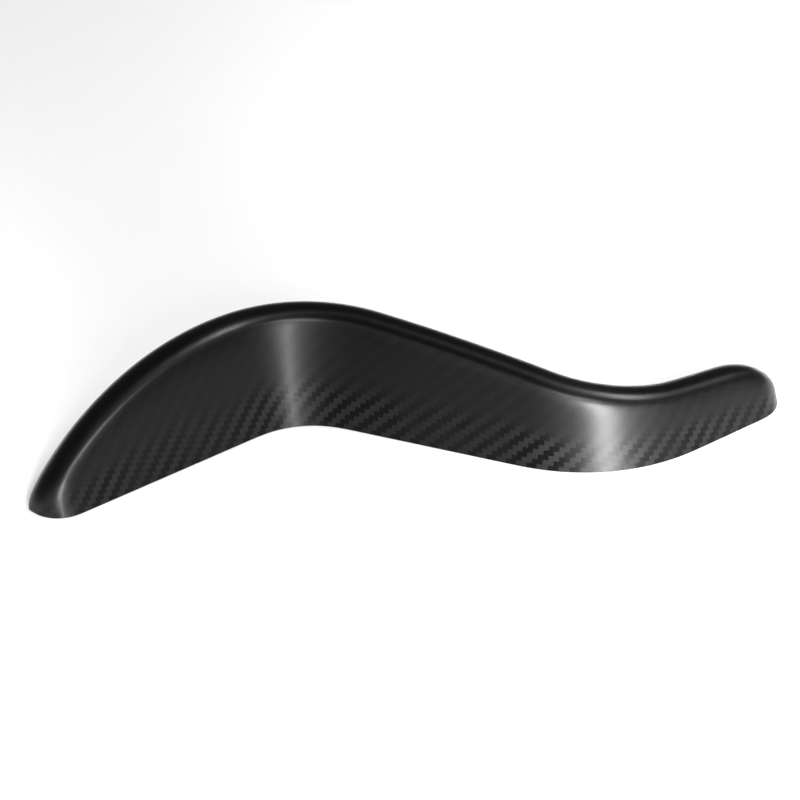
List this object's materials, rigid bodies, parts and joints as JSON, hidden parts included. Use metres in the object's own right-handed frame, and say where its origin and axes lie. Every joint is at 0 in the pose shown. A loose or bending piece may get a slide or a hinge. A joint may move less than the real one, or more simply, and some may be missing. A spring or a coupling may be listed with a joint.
{
  "type": "door pull handle",
  "caption": "S-curved carbon-look pull handle: a clip-on hollow cover with rounded ends over a ribbed, bolt-down carrier.",
  "frame": {"origin": "mouth of the middle threaded insert, on the panel plane the handle stands on", "axes": "+Z away from the panel, +X along the length of the handle towards its low end, +Y towards its steep back face"},
  "size_m": [0.2941, 0.0925, 0.0441],
  "materials": {
    "carbon_laminate": "satin clear coat over 2x2 twill carbon laminate",
    "black_abs": "moulded, fine grain",
    "glass_nylon": "moulded, slight glass-fibre mottling",
    "spring_steel": "rolled strip, zinc flake coated",
    "brass": "turned, knurled outside",
    "foam": "open-cell foam",
    "felt": "pressed felt"
  },
  "bodies": {
    "carrier": {"carrier": "glass_nylon", "felt_pad_back_1": "felt", "felt_pad_back_2": "felt", "felt_pad_back_3": "felt", "felt_pad_front_1": "felt", "felt_pad_front_2": "felt", "felt_pad_front_3": "felt", "foam_washer_1": "foam", "foam_washer_2": "foam", "foam_washer_3": "foam", "spring_clip_1": "spring_steel", "spring_clip_2": "spring_steel", "spring_clip_3": "spring_steel", "spring_clip_4": "spring_steel", "spring_clip_5": "spring_steel", "threaded_insert_1": "brass", "threaded_insert_2": "brass", "threaded_insert_3": "brass"},
    "cover": {"cover_shell": "black_abs", "carbon_skin": "carbon_laminate"}
  },
  "joints": [
    {"name": "cover_unclip", "type": "slide", "parent": "carrier", "child": "cover", "axis": [0, 0, 1], "range_m": [0, 0.06]}
  ]
}
